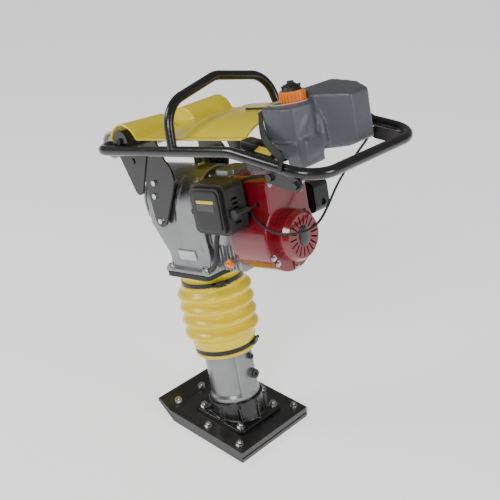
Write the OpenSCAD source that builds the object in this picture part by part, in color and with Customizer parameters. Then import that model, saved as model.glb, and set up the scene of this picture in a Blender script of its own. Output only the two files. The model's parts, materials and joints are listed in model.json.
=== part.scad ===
// Tamping rammer ("jumping jack"): a petrol engine drives a crank gear, whose
// connecting rod pumps a spring loaded leg with a flat shoe.
//
// Row frame: +X is the way the machine walks, +Y is its left, +Z is up.
// The origin lies on the ground, under the point where the leg's axis meets
// the sole. Nearly every piece is drawn upright in the leg frame (u forward,
// v left, w along the leg) and tipped forward by lean.

/* [Stance] */
// Forward lean of the leg, degrees
lean = 13.6; // [10:0.2:18]

/* [Shoe] */
// Width of the shoe
shoe_width = 285; // [240:1:330]
// Flat length of the shoe behind the leg's axis
shoe_back = 138; // [120:1:170]
// Flat length of the shoe ahead of the leg's axis
shoe_front = 140; // [120:1:170]
// How far the turned-up nose reaches past the flat
nose_run = 66; // [40:1:80]
// How high the nose turns up
nose_rise = 45; // [25:1:60]
// Thickness of the steel wear plate
plate_t = 12; // [8:0.5:16]
// Thickness of the shoe board
board_t = 20.6; // [14:0.2:28]
// Shoe bolt radius
shoe_bolt_r = 5; // [4:0.5:6]
// Foot stud spacing, fore and aft
stud_x = 146; // [130:1:160]
// Foot stud spacing, across
stud_y = 141; // [130:1:160]

/* [Leg] */
// Outer radius of the spring cylinder's lower body
cylinder_r = 72.5; // [66:0.5:80]
// Bore radius of the spring cylinder
bore_r = 46; // [40:0.5:50]
// Wall of the spring cylinder's upper tube
tube_wall = 6.5; // [5:0.5:8]
// Radial running clearance of sliding and turning fits
fit_gap = 0.06; // [0.02:0.01:0.1]
// Wall of the guide tube
guide_wall = 6; // [5:0.5:8]
// Wall of the guide bush
bush_wall = 3.5; // [2:0.5:5]
// Piston rod radius
rod_r = 15; // [12:0.5:18]
// Wire radius of the ram springs
wire_r = 5; // [4:0.25:6]
// Number of bellows ribs
ribs = 4; // [3:1:5]
// Outer radius of the bellows ribs
rib_r = 107; // [100:1:115]
// Distance between bellows ribs
rib_pitch = 38.8; // [34:0.2:42]
// Radius of the bellows cuffs
cuff_r = 87; // [80:0.5:92]

/* [Drive] */
// Gear module
gear_m = 2; // [1.75:0.25:2.25]
// Teeth of the crank gear
gear_teeth = 72; // [68:1:76]
// Teeth of the pinion
pinion_teeth = 13; // [12:1:15]
// Throw of the crank pin
throw = 26; // [20:0.5:30]
// Crank pin radius
pin_r = 12; // [10:0.5:14]
// Connecting rod length, centre to centre
rod_len = 120; // [110:1:130]
// Height of the crank gear's axis along the leg
crank_w = 694; // [680:1:720]

/* [Handle] */
// Handle tube outer diameter
tube_d = 26; // [22:0.5:32]
// Handle tube wall
handle_wall = 3; // [2:0.5:4]
// Half distance between the side tubes
handle_v = 199; // [185:1:215]
// Height of the side tubes along the leg
handle_w = 875; // [860:1:900]
// Front cross tube, ahead of the leg's axis
handle_front = 129; // [120:1:145]
// Rear cross tube, behind the leg's axis
handle_rear = 606; // [580:1:640]
// Downward bend of the rear grip, degrees
grip_slope = 13.2; // [10:0.2:18]
// Backward lean of the lifting bar's foot, degrees
lift_lean = 7; // [0:0.5:12]
// Height of the lifting bar's middle along the leg
lift_w = 1017; // [1000:1:1040]
// Radius of the loading roller
roller_r = 36; // [28:1:40]

/* [Engine] */
// Radius of the fan shroud
shroud_r = 95; // [88:1:100]
// Rear face of the starter cover, behind the leg's axis
starter_back = 370; // [350:1:390]

/* [Hidden] */
$fn = 64;

clear = 0.5;
board_z = plate_t + board_t;
tube_out = bore_r + tube_wall;
bush_in = tube_out + fit_gap;
guide_in = bush_in + bush_wall;
guide_out = guide_in + guide_wall;

// Stations along the leg
foot_w = 91;
body_top = 272;
piston_w = 265;
piston_t = 14;
cap_w = 428;
cap_t = 14;
lip_w = 240;
low_band_w = 250;
high_band_w = 455;
band_h = 12;
rib_w = 307.6;
flange_w = 497;
seal_t = 13;
seal_w = flange_w - seal_t;
pin_w = crank_w - throw;
wrist_w = pin_w - rod_len;
engine_w = crank_w - gear_m * (gear_teeth + pinion_teeth) / 2 - 0.1;

// Stations along the shafts, u negative towards the engine
gear_u0 = -36;
gear_u1 = -16;
rod_half = 11;
case_back = -104;
case_front = 104;
case_r = 92;
cavity_r = gear_m * (gear_teeth / 2 + 1) + 4;
chamber_r = 48;
drum_r = 44;
drum_in = 40;
block_back = -205;
shroud_back = -328;

// Rubber mounts that carry the handle
lever_u = -470;
mount_u = 35;
mount_w = 896;
plate_v = handle_v - tube_d / 2;
lever_v = -plate_v + 14;
bracket_v = 100;
bracket_t = 6;
bearing_r = 31;

// Tank
tank_u = -450;
neck_v = 50;
neck_w = 954;
collar_h = 26;

module leg() {
    rotate([0, lean, 0]) children();
}

// Solids by their limits in the leg frame
module block(u0, u1, v0, v1, w0, w1) {
    translate([u0, v0, w0]) cube([u1 - u0, v1 - v0, w1 - w0]);
}

module rod_u(u0, u1, v, w, r) {
    translate([u0, v, w]) rotate([0, 90, 0]) cylinder(r = r, h = u1 - u0);
}

module rod_v(u, v0, v1, w, r) {
    translate([u, v1, w]) rotate([90, 0, 0]) cylinder(r = r, h = v1 - v0);
}

module rod_w(u, v, w0, w1, r) {
    translate([u, v, w0]) cylinder(r = r, h = w1 - w0);
}

// Extrusions of a flat outline: (u, w) along v, and (v, w) along u
module slab_v(v0, v1) {
    translate([0, v1, 0]) rotate([90, 0, 0]) linear_extrude(v1 - v0) children();
}

module slab_u(u0, u1) {
    translate([u0, 0, 0]) rotate([90, 0, 90]) linear_extrude(u1 - u0) children();
}

module slab_w(w0, w1) {
    translate([0, 0, w0]) linear_extrude(w1 - w0) children();
}

// Flat outline of a rectangle with round corners
module round_rect(x0, x1, y0, y1, r) {
    translate([x0 + r, y0]) square([x1 - x0 - 2 * r, y1 - y0]);
    translate([x0, y0 + r]) square([x1 - x0, y1 - y0 - 2 * r]);
    for (x = [x0 + r, x1 - r])
        for (y = [y0 + r, y1 - r])
            translate([x, y]) circle(r);
}

// Plate along v shaped as a link between two round ends; its straight sides
// run a hair inside the tangents
module link(v0, v1, a, ra, b, rb) {
    d = norm(b - a);
    dir = atan2(b[1] - a[1], b[0] - a[0]);
    tilt = acos((ra - rb) / d);
    qa = ra - 0.03;
    qb = rb - 0.03;
    rod_v(a[0], v0, v1, a[1], ra);
    rod_v(b[0], v0, v1, b[1], rb);
    slab_v(v0, v1) polygon([
        a + qa * [cos(dir + tilt), sin(dir + tilt)],
        b + qb * [cos(dir + tilt), sin(dir + tilt)],
        b + qb * [cos(dir - tilt), sin(dir - tilt)],
        a + qa * [cos(dir - tilt), sin(dir - tilt)]]);
}

module ring_profile(r, wall) {
    difference() {
        circle(r);
        if (wall < r) circle(r - wall);
    }
}

// A tube is drawn as a chain: each piece starts at its own origin, runs along
// its own +X, and hands its end to the next piece
module run(l, r, wall) {
    rotate([0, 90, 0]) linear_extrude(l) ring_profile(r, wall);
    translate([l, 0, 0]) children();
}

// Low ring that covers the joint between a run and a turn
module joint_ring(r, wall) {
    translate([-2, 0, 0]) rotate([0, 90, 0]) linear_extrude(4) ring_profile(r + 0.3, wall + 0.6);
}

// Turn by angle about a centre bend away, towards +Y turned by roll about +X
module turn(bend, angle, roll, r, wall) {
    ringed = angle != 90;
    if (ringed) joint_ring(r, wall);
    rotate([roll, 0, 0]) {
        translate([0, bend, 0]) rotate([0, 0, -90])
            rotate_extrude(angle = angle) translate([bend, 0]) ring_profile(r, wall);
        translate([0, bend, 0]) rotate([0, 0, angle]) translate([0, -bend, 0])
            rotate([-roll, 0, 0]) {
                if (ringed) joint_ring(r, wall);
                children();
            }
    }
}

// Closed skin swept along points: rings of sides points, capped at both ends
module sweep(points, r, sides) {
    n = len(points);
    dirs = [for (i = [0:n - 1]) let (d = points[min(i + 1, n - 1)] - points[max(i - 1, 0)]) d / norm(d)];
    ref = [0.13, 0.21, 0.97];
    rings = [for (i = [0:n - 1])
        let (x = cross(dirs[i], ref), e = x / norm(x), f = cross(dirs[i], e))
        for (k = [0:sides - 1]) points[i] + r * (e * cos(360 * k / sides) + f * sin(360 * k / sides))];
    walls = [for (i = [0:n - 2]) for (k = [0:sides - 1])
        let (a = i * sides + k, b = i * sides + (k + 1) % sides)
        [a, a + sides, b + sides, b]];
    caps = [[for (k = [0:sides - 1]) k], [for (k = [sides - 1:-1:0]) (n - 1) * sides + k]];
    polyhedron(points = rings, faces = concat(walls, caps));
}

// A point of a Catmull-Rom curve through points
function curve_at(p, i, t) =
    let (a = p[max(i - 1, 0)], b = p[i], c = p[i + 1], d = p[min(i + 2, len(p) - 1)])
    0.5 * (2 * b + (c - a) * t + (2 * a - 5 * b + 4 * c - d) * t * t + (3 * b - a - 3 * c + d) * t * t * t);
function curve(p, steps) = concat(
    [for (i = [0:len(p) - 2]) for (k = [0:steps - 1]) curve_at(p, i, k / steps)], [p[len(p) - 1]]);

// Involute tooth wheel outline
function inv_angle(base, r) = let (t = sqrt(max(0, pow(r / base, 2) - 1))) t * 180 / PI - atan(t);
function polar(r, a) = [r * cos(a), r * sin(a)];
module gear_outline(teeth, m, backlash) {
    pitch = m * teeth / 2;
    base = pitch * cos(20);
    outer = pitch + 0.9 * m;
    root = pitch - 1.2 * m;
    half = 90 / teeth - backlash / pitch * 90 / PI + inv_angle(base, pitch);
    low = max(base, root);
    radii = [low, (low + pitch) / 2, pitch, (pitch + outer) / 2, outer];
    polygon([for (i = [0:teeth - 1]) let (a = 360 * i / teeth) each concat(
        [polar(root, a - half)],
        [for (r = radii) polar(r, a - half + inv_angle(base, r))],
        [for (k = [len(radii) - 1:-1:0]) polar(radii[k], a + half - inv_angle(base, radii[k]))],
        [polar(root, a + half)])]);
}

// Hexagon head or nut, flat on +Z
module hex(af, h) {
    cylinder(r = af / sqrt(3), h = h, $fn = 6);
}

// ---------------------------------------------------------------- shoe and foot

function nose_normal() = let (l = norm([nose_run, nose_rise])) [-nose_rise, nose_run] / l;

// Side outline of the wear plate: flat, then turned up and thinned at the tip
module plate_outline() {
    n = nose_normal();
    polygon([
        [-shoe_back, 0],
        [shoe_front, 0],
        [shoe_front + nose_run, nose_rise],
        [shoe_front + nose_run, nose_rise] + 4 * n,
        [shoe_front, 0] + plate_t * n + [2, 0],
        [shoe_front - 4, plate_t],
        [-shoe_back, plate_t]]);
}

module board_outline() {
    difference() {
        polygon([
            [-shoe_back + 2, plate_t],
            [shoe_front + nose_run, plate_t],
            [shoe_front + nose_run - 1, nose_rise + 7],
            [shoe_front + nose_run - 10, nose_rise + 7],
            [shoe_front + 14, board_z],
            [-shoe_back + 2, board_z]]);
        polygon([
            [shoe_front - 4, plate_t],
            [shoe_front + nose_run + 8, nose_rise + 4 + 8 * nose_rise / nose_run],
            [shoe_front + nose_run + 8, 0],
            [shoe_front - 4, 0]]);
    }
}

shoe_bolt_at = [[-104, 119], [-104, -119], [19, 119], [19, -119]];
nose_bolt_y = [98, 0, -98];
nose_bolt_x = shoe_front + 26;

nose_tilt = atan((nose_rise + 7 - board_z) / (nose_run - 24));

// Frame of a nose bolt: origin on the board's sloping front, +Z square to it
module on_nose(y) {
    translate([nose_bolt_x, y, board_z + (nose_bolt_x - shoe_front - 14) * tan(nose_tilt)])
        rotate([0, -nose_tilt, 0]) children();
}

module bolt_holes(r) {
    for (p = shoe_bolt_at)
        translate([p[0], p[1], -1]) cylinder(r = r, h = board_z + 2);
    for (y = nose_bolt_y)
        on_nose(y) translate([0, 0, -50]) cylinder(r = r, h = 60);
}

module stud_holes(r, h) {
    for (x = [-stud_x / 2, stud_x / 2])
        for (y = [-stud_y / 2, stud_y / 2])
            translate([9 + x, y, -1]) cylinder(r = r, h = h);
}

module wear_plate() {
    color("#2b2b2d") difference() {
        rotate([90, 0, 0]) translate([0, 0, -shoe_width / 2])
            linear_extrude(shoe_width) plate_outline();
        bolt_holes(shoe_bolt_r);
        stud_holes(6, plate_t + 2);
    }
}

module shoe_board() {
    color("#1d1d1f") difference() {
        rotate([90, 0, 0]) translate([0, 0, -shoe_width / 2])
            linear_extrude(shoe_width) board_outline();
        bolt_holes(shoe_bolt_r);
        stud_holes(6, board_z + 2);
    }
}

// Carriage bolt from z0 up through the shoe, washer and nut on the seat
module shoe_bolt(z0, seat, r, af) {
    translate([0, 0, z0]) cylinder(r = r, h = seat + 14 - z0);
    translate([0, 0, seat]) cylinder(r = af * 0.72, h = 2);
    translate([0, 0, seat + 2]) hex(af, 8);
}

module shoe_bolts() {
    color("#b9bcc0") {
        for (p = shoe_bolt_at)
            translate([p[0], p[1], 0]) shoe_bolt(2, board_z, shoe_bolt_r, 16);
        for (y = nose_bolt_y)
            on_nose(y) shoe_bolt(-20, 0, shoe_bolt_r, 16);
    }
}

casting_t = 12;
module foot_casting() {
    color("#1b1c1e") difference() {
        union() {
            translate([0, 0, board_z]) linear_extrude(casting_t)
                round_rect(9 - 95, 9 + 95, -89, 89, 16);
            intersection() {
                leg() rod_w(0, 0, 0, foot_w, cylinder_r + 8);
                translate([-150, -150, board_z]) cube([300, 300, 200]);
            }
            intersection() {
                leg() for (a = [20:40:340])
                    rotate([0, 0, a]) block(0, cylinder_r + 16, -4, 4, 0, foot_w - 12);
                translate([9 - 95, -89, board_z]) cube([190, 178, 200]);
            }
        }
        leg() rod_w(0, 0, foot_w - 14, foot_w + 60, cylinder_r - 4);
        stud_holes(6, 80);
        for (x = [-stud_x / 2, stud_x / 2])
            for (y = [-stud_y / 2, stud_y / 2])
                translate([9 + x, y, board_z + casting_t]) cylinder(r = 13, h = 60);
    }
}

module foot_studs() {
    color("#b9bcc0")
        for (x = [-stud_x / 2, stud_x / 2])
            for (y = [-stud_y / 2, stud_y / 2])
                translate([9 + x, y, 0]) shoe_bolt(2, board_z + casting_t, 6, 18);
}

// ---------------------------------------------------------------- leg

// Oil plug and sight glass bosses on the back of the cylinder
plug_w = [159, 214];
plug_boss_r = [15, 10];
plug_r = [9, 6];

module spring_cylinder() {
    color("#9a9c9e") leg() difference() {
        union() {
            rod_w(0, 0, foot_w, body_top, cylinder_r - 5);
            rod_w(0, 0, foot_w, foot_w + 12, cylinder_r);
            translate([0, 0, foot_w + 12]) cylinder(r1 = cylinder_r, r2 = cylinder_r - 4, h = 8);
            slab_w(foot_w + 12, lip_w + 6) round_rect(-cylinder_r + 1, cylinder_r - 1, -34, 34, 10);
            rod_w(0, 0, foot_w - 14, foot_w, cylinder_r - 4.3);
            rod_w(0, 0, lip_w - 6, low_band_w + band_h + 8, cuff_r - 5.2);
            rod_w(0, 0, body_top - 1, cap_w, tube_out);
            for (i = [0, 1])
                rod_u(-cylinder_r - 8 + 4 * i, 0, -16, plug_w[i], plug_boss_r[i]);
        }
        rod_w(0, 0, foot_w + 14, cap_w + 1, bore_r);
        for (i = [0, 1])
            rod_u(-cylinder_r - 20, -30, -16, plug_w[i], plug_r[i]);
    }
}

module oil_plugs() {
    color("#26282b") leg()
        for (i = [0, 1]) {
            front = -cylinder_r - 8 + 4 * i;
            difference() {
                union() {
                    rod_u(front, -cylinder_r + 14, -16, plug_w[i], plug_r[i]);
                    rod_u(front - 4, front, -16, plug_w[i], plug_boss_r[i] - 2);
                }
                translate([front - 4.5, -16, plug_w[i]]) rotate([0, 90, 0]) hex(plug_r[i], 6);
            }
        }
}

module cylinder_cap() {
    color("#c9a227") leg() difference() {
        union() {
            rod_w(0, 0, cap_w, cap_w + cap_t - 2, tube_out - 1);
            rod_w(0, 0, cap_w - 8, cap_w, bore_r);
        }
        rod_w(0, 0, cap_w - 9, cap_w + cap_t, rod_r + fit_gap);
    }
}

// Coil spring between two heights, its ends laid flat
module coil(w0, w1, r, wire, turns) {
    n = turns * 14;
    function rise(t) = t < 0.1 ? t * 0.35 : t > 0.9 ? 1 - (1 - t) * 0.35 : 0.035 + (t - 0.1) * 0.93 / 0.8;
    sweep([for (i = [0:n]) let (t = i / n, a = 360 * turns * t)
        [r * cos(a), r * sin(a), w0 + wire + (w1 - w0 - 2 * wire) * rise(t)]], wire, 8);
}

module ram_springs() {
    color("#3f4347") leg() {
        coil(foot_w + 14 + clear, piston_w - clear, bore_r - wire_r - 2, wire_r, 6);
        coil(piston_w + piston_t + clear, cap_w - 8 - clear, bore_r - wire_r - 2, wire_r, 6);
    }
}

function rib_radius(w) =
    let (low = rib_w - rib_pitch / 2, high = rib_w + (ribs - 0.5) * rib_pitch)
    w < low || w > high ? 0 : pow(abs(cos(180 * (w - rib_w) / rib_pitch)), 1.3);
module bellows() {
    step = rib_pitch / 12;
    low = rib_w - rib_pitch / 2;
    high = rib_w + (ribs - 0.5) * rib_pitch;
    wall = 4;
    swing = rib_r - cuff_r - wall;
    outer = [for (w = [low:step:high + 0.01]) [cuff_r + wall + swing * rib_radius(w), w]];
    inner = [for (i = [len(outer) - 1:-1:0]) outer[i] - [wall, 0]];
    color("#f2d024") leg() rotate_extrude($fn = 96) polygon(concat(
        [[cuff_r - wall - 1, lip_w], [cuff_r + 1, lip_w], [cuff_r + 1, low_band_w - 1],
            [cuff_r, low_band_w - 1], [cuff_r, low_band_w + band_h + 1],
            [cuff_r + 3, low_band_w + band_h + 2]],
        outer,
        [[cuff_r + 3, high_band_w - 2], [cuff_r, high_band_w - 1], [cuff_r, high_band_w + 19],
            [cuff_r + 1, high_band_w + 19], [cuff_r + 1, seal_w], [cuff_r - wall - 1, seal_w]],
        inner,
        [[cuff_r - wall - 1, low - 2]]));
}

// Worm drive band: strip, screw housing and screw
module band(w0, turn) {
    difference() {
        rod_w(0, 0, w0, w0 + band_h, cuff_r + 1.6);
        rod_w(0, 0, w0 - 1, w0 + band_h + 1, cuff_r + 0.1);
    }
    rotate([0, 0, turn]) {
        block(cuff_r + 1.2, cuff_r + 9, -13, 13, w0 - 1, w0 + band_h + 1);
        rod_v(cuff_r + 5, -24, 20, w0 + band_h / 2, 4);
        translate([cuff_r + 5, 20, w0 + band_h / 2]) rotate([-90, 0, 0]) hex(9, 6);
    }
}

module lower_clamp() {
    color("#8d9094") leg() band(low_band_w, 205);
}

module upper_clamp() {
    color("#8d9094") leg() band(high_band_w, 150);
}

module guide_tube() {
    color("#6f7276") leg() difference() {
        union() {
            rod_w(0, 0, 330, seal_w, guide_out);
            rod_w(0, 0, high_band_w - 4, seal_w, cuff_r - 5.2);
        }
        rod_w(0, 0, 329, seal_w + 1, guide_in);
    }
}

module guide_bush() {
    color("#e8e4d8") leg() difference() {
        rod_w(0, 0, 334, 400, guide_in);
        rod_w(0, 0, 333, 401, bush_in);
    }
}

// The piston rod ends in a flat eye that stands in the connecting rod's fork
eye_half = 5.5;
eye_r = 16;
wrist_r = 8;
flat_w = wrist_w - eye_r - 2 * throw - 2;
module piston_rod() {
    color("#7d8186") leg() {
        rod_w(0, 0, piston_w, piston_w + piston_t, bore_r - fit_gap);
        rod_w(0, 0, piston_w + piston_t, flat_w, rod_r);
        intersection() {
            rod_w(0, 0, flat_w, wrist_w, rod_r);
            block(-eye_half, eye_half, -rod_r + 1, rod_r - 1, flat_w, wrist_w);
        }
        rod_u(-eye_half, eye_half, 0, wrist_w, eye_r);
    }
}

// ---------------------------------------------------------------- crankcase

module case_side_outline() {
    polygon([
        [case_back, crank_w + case_r + 1],
        [case_back, 640],
        [case_back + 8, 560],
        [-88, 512],
        [-88, flange_w],
        [86, flange_w],
        [86, flange_w + 14],
        [66, flange_w + 16],
        [68, 545],
        [case_front - 2, 640],
        [case_front, 700],
        [case_front, crank_w + case_r + 1]]);
}

module case_front_outline() {
    translate([0, crank_w]) circle(case_r);
    polygon([
        [case_r, crank_w],
        [case_r - 1, 640],
        [76, 545],
        [80, flange_w + 15],
        [88, flange_w + 13],
        [88, flange_w],
        [-88, flange_w],
        [-88, flange_w + 13],
        [-80, flange_w + 15],
        [-76, 545],
        [-case_r + 1, 640],
        [-case_r, crank_w]]);
}

// Inner bracket bolts on the case's sides
case_bolt_at = [[33, 762], [41, 725], [38, 655]];
cover_bolts = 8;
cover_r = 84;

module crankcase() {
    color("#a4a6a8") leg() difference() {
        union() {
            intersection() {
                slab_v(-110, 110) case_side_outline();
                slab_u(-110, 110) case_front_outline();
            }
            for (p = case_bolt_at)
                rod_v(p[0], -bracket_v, bracket_v, p[1], 13);
            rod_u(case_back - 0.5, -60, 0, engine_w, 70);
            for (u = [70, -70])
                for (v = [-78, 78])
                    rod_w(u, v, flange_w, flange_w + 22, 11);
            rod_w(-40, 0, crank_w + case_r - 12, crank_w + case_r + 8, 16);
        }
        // gear room, trunk, and the throat over the leg
        rod_u(-45, case_front + 1, 0, crank_w, cavity_r);
        block(-45, 56, -56, 56, 560, crank_w);
        rod_w(0, 0, flange_w - 1, 580, guide_in);
        // clutch room and the bearing seats
        rod_u(case_back - 2, -56, 0, engine_w, chamber_r);
        rod_u(-57, -44, 0, engine_w, 15);
        rod_u(-96, -44, 0, crank_w, 18.5);
        rod_u(-60, -44, 0, crank_w, bearing_r);
        rod_u(-96, -80, 0, crank_w, bearing_r);
        rod_w(-40, 0, crank_w + cavity_r - 6, crank_w + case_r + 10, 9);
        for (p = case_bolt_at)
            for (s = [-1, 1])
                rod_v(p[0], s > 0 ? 84 : -101, s > 0 ? 101 : -84, p[1], 4);
        for (i = [0:cover_bolts - 1])
            let (a = 22.5 + 45 * i)
                rod_u(case_front - 16, case_front + 1, cover_r * cos(a) * 1.045, crank_w + cover_r * sin(a) * 1.045, 3);
    }
}

module crankcase_seal() {
    color("#1c1c1e") leg() difference() {
        slab_w(seal_w, flange_w) round_rect(-84, 88, -88, 88, 14);
        rod_w(0, 0, seal_w - 1, flange_w + 1, guide_in);
    }
}

module crankcase_cover() {
    color("#a4a6a8") leg() difference() {
        union() {
            rod_u(case_front, case_front + 7, 0, crank_w, case_r);
            rod_u(case_front + 7, case_front + 13, 0, crank_w, 62);
            rod_u(case_front - 10, case_front, 0, crank_w, cavity_r - 0.2);
        }
        rod_u(case_front - 11, case_front + 1, 0, crank_w, cavity_r - 8);
        for (i = [0:cover_bolts - 1])
            let (a = 22.5 + 45 * i)
                rod_u(case_front - 1, case_front + 8, cover_r * cos(a) * 1.045, crank_w + cover_r * sin(a) * 1.045, 3.1);
    }
}

module case_bolts() {
    color("#2c2e31") leg() {
        for (i = [0:cover_bolts - 1])
            let (a = 22.5 + 45 * i, v = cover_r * cos(a) * 1.045, w = crank_w + cover_r * sin(a) * 1.045) {
                rod_u(case_front - 14, case_front + 7, v, w, 3);
                rod_u(case_front + 7, case_front + 12, v, w, 5);
            }
        for (p = case_bolt_at)
            for (s = [-1, 1]) {
                out = bracket_v + bracket_t;
                rod_v(p[0], s > 0 ? 86 : -out, s > 0 ? out : -86, p[1], 4);
                translate([p[0], s * out, p[1]]) rotate([-s * 90, 0, 0]) hex(14, 6);
            }
    }
}

module breather() {
    color("#26282b") leg() {
        rod_w(-40, 0, crank_w + case_r - 10, crank_w + case_r + 8, 9);
        rod_w(-40, 0, crank_w + case_r + 8, crank_w + case_r + 20, 13);
    }
}

module crank_gear() {
    color("#6d7074") leg() {
        difference() {
            translate([gear_u0, 0, crank_w]) rotate([90, 0, 90])
                linear_extrude(gear_u1 - gear_u0) rotate(-90) gear_outline(gear_teeth, gear_m, 0.25);
            // lightening holes stand in for the counterweight's window
            for (a = [-45, 45])
                rod_u(gear_u0 - 1, gear_u1 + 1, 44 * sin(a), crank_w - 44 * cos(a), 12);
        }
        rod_u(-94, gear_u0, 0, crank_w, 17.5);
        rod_u(gear_u1, rod_half + 3, 0, pin_w, pin_r);
    }
}

module bearing_ring(u0, u1, w, r_out, r_in) {
    difference() {
        rod_u(u0, u1, 0, w, r_out);
        rod_u(u0 - 1, u1 + 1, 0, w, r_in);
    }
}

module drive_bearings() {
    color("#c4c7cb") leg() {
        bearing_ring(-60, -46, crank_w, bearing_r, 17.5 + fit_gap);
        bearing_ring(-96, -82, crank_w, bearing_r, 17.5 + fit_gap);
        bearing_ring(-56, -46, engine_w, 15, 9 + fit_gap);
    }
}

fork_top = wrist_w + eye_r + 2 * throw + 4;
module con_rod() {
    color("#8b8f94") leg() difference() {
        union() {
            rod_u(-rod_half, rod_half, 0, pin_w, 23);
            rod_u(-rod_half, rod_half, 0, wrist_w, eye_r);
            slab_u(-rod_half, rod_half)
                polygon([[-14, wrist_w], [14, wrist_w], [16, pin_w], [-16, pin_w]]);
        }
        rod_u(-rod_half - 1, rod_half + 1, 0, pin_w, pin_r + fit_gap);
        block(-eye_half - 0.5, eye_half + 0.5, -eye_r - 9, eye_r + 9, wrist_w - eye_r - 1, fork_top);
    }
}

module pinion_drum() {
    color("#75797e") leg() {
        translate([gear_u0, 0, engine_w]) rotate([90, 0, 90])
            linear_extrude(gear_u1 - gear_u0) rotate(90 + 180 / pinion_teeth)
                gear_outline(pinion_teeth, gear_m, 0.25);
        rod_u(-62, gear_u0, 0, engine_w, 9);
        difference() {
            rod_u(-96, -58, 0, engine_w, drum_r);
            rod_u(-97, -64, 0, engine_w, drum_in);
        }
    }
}

// ---------------------------------------------------------------- engine

shaft_r = 10;
module crankshaft() {
    color("#777b80") leg() {
        rod_u(-100, -70, 0, engine_w, shaft_r - 2);
        rod_u(-200, -100, 0, engine_w, shaft_r);
        rod_u(-268, -200, 0, engine_w, shaft_r - 1);
    }
}

module clutch_shoes() {
    color("#8a5a3a") leg() difference() {
        rod_u(-94, -72, 0, engine_w, drum_in - 1.5);
        rod_u(-95, -71, 0, engine_w, shaft_r - 2);
        for (s = [-1, 1])
            block(-95, -71, -drum_in, drum_in, engine_w + s * 16 - 1, engine_w + s * 16 + 1);
    }
}

module flywheel() {
    color("#84888c") leg() difference() {
        union() {
            rod_u(-256, -244, 0, engine_w, 72);
            rod_u(-244, -222, 0, engine_w, 40);
            rod_u(-290, -256, 0, engine_w, 34);
            for (i = [0:15])
                translate([0, 0, engine_w]) rotate([22.5 * i, 0, 0])
                    block(-276, -250, 50, 80, -1.5, 1.5);
        }
        rod_u(-300, -221, 0, engine_w, shaft_r - 1);
        rod_u(-291, -268, 0, engine_w, 30);
    }
}

module engine_block() {
    fin = 2.2;
    color("#9fa2a5") leg() {
        difference() {
            union() {
                rod_u(-118, case_back - 0.5, 0, engine_w, 68);
                slab_u(block_back, -113) round_rect(-72, 72, engine_w - 92, engine_w + 56, 14);
                rod_v(-180, 70, 84, engine_w - 62, 12);
            }
            rod_u(block_back - 1, case_back + 1, 0, engine_w, shaft_r + 0.5);
            rod_u(-110, case_back + 2, 0, engine_w, chamber_r);
            rod_v(-180, 80, 85, engine_w - 62, 9.4);
        }
        difference() {
            union() {
                block(-195, -125, -45, 45, engine_w + 52, engine_w + 138);
                for (i = [0:8])
                    block(-203, -117, -56, 56, engine_w + 62 + 8 * i, engine_w + 62 + 8 * i + fin);
            }
            rod_w(-160, 0, engine_w + 50, engine_w + 140, 28);
        }
        for (i = [0:5])
            block(-190 + 13 * i, -187 + 13 * i, -76, 76, engine_w - 88, engine_w - 20);
    }
}

module head_cover() {
    color("#a7aaad") leg() {
        slab_w(engine_w + 138, engine_w + 158) round_rect(-204, -116, -50, 50, 12);
        slab_w(engine_w + 158, engine_w + 172) round_rect(-192, -128, -38, 38, 14);
        for (u = [-198, -122])
            for (v = [-44, 44])
                rod_w(u, v, engine_w + 158, engine_w + 163, 5);
    }
}

switch_v = -52;
switch_w = 738;
// Outline of the shroud: round fan case with a duct up to the cylinder head
module shroud_outline(inset) {
    translate([0, engine_w]) circle(shroud_r - inset);
    difference() {
        round_rect(-84 + inset, 62 - inset, engine_w, engine_w + 162 - inset, 24);
        translate([-120, engine_w - 60]) square([240, 60]);
    }
}

module fan_shroud() {
    wall = 3;
    color("#b3151c") leg() {
        // bezel and pin of the stop switch
        difference() {
            block(shroud_back - 9, shroud_back + 1, switch_v - 9, switch_v + 9, switch_w - 13, switch_w + 13);
            block(shroud_back - 10, shroud_back - 0.5, switch_v - 6.5, switch_v + 6.5, switch_w - 11, switch_w + 11);
        }
        rod_v(shroud_back - 6, switch_v - 8, switch_v + 8, switch_w, 1.5);
        fan_case(wall);
    }
}

module fan_case(wall) {
    difference() {
        slab_u(shroud_back, block_back) shroud_outline(0);
        slab_u(shroud_back + wall, block_back - wall) shroud_outline(wall);
        rod_u(shroud_back - 1, shroud_back + 10, 0, engine_w, 62);
        rod_u(block_back - 10, block_back + 3, 0, engine_w, 60);
        block(block_back - 8, block_back + 3, -50, 50, engine_w + 62, engine_w + 140);
        block(-248, block_back + 3, 54, 84, carb_w - 44, carb_w + 26);
        rod_v(-290, 50, 100, engine_w + 96, 5);
    }
}

slots = 18;
module starter_cover() {
    dome = 66;
    color("#b3151c") leg() difference() {
        union() {
            rod_u(-starter_back + 14, shroud_back, 0, engine_w, dome);
            translate([-starter_back + 14, 0, engine_w]) rotate([0, -90, 0])
                cylinder(r1 = dome, r2 = dome - 9, h = 14);
            for (a = [30, 150, 270])
                translate([0, 0, engine_w]) rotate([a, 0, 0])
                    block(shroud_back - 4, shroud_back, 0, dome + 16, -9, 9);
        }
        rod_u(-starter_back + 6, shroud_back + 1, 0, engine_w, dome - 9);
        for (i = [0:slots - 1])
            translate([0, 0, engine_w]) rotate([360 / slots * i, 0, 0])
                block(-starter_back - 1, -starter_back + 10, 28, 52, -2, 2);
    }
}

grip_u = -290;
grip_w = engine_w + 96;
module starter_grip() {
    color("#202124") leg() {
        rod_v(grip_u, 99, 135, grip_w, 8);
        rod_v(grip_u, 135, 146, grip_w, 12);
        rod_v(grip_u, -62, 99, grip_w, 2.5);
    }
}

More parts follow.
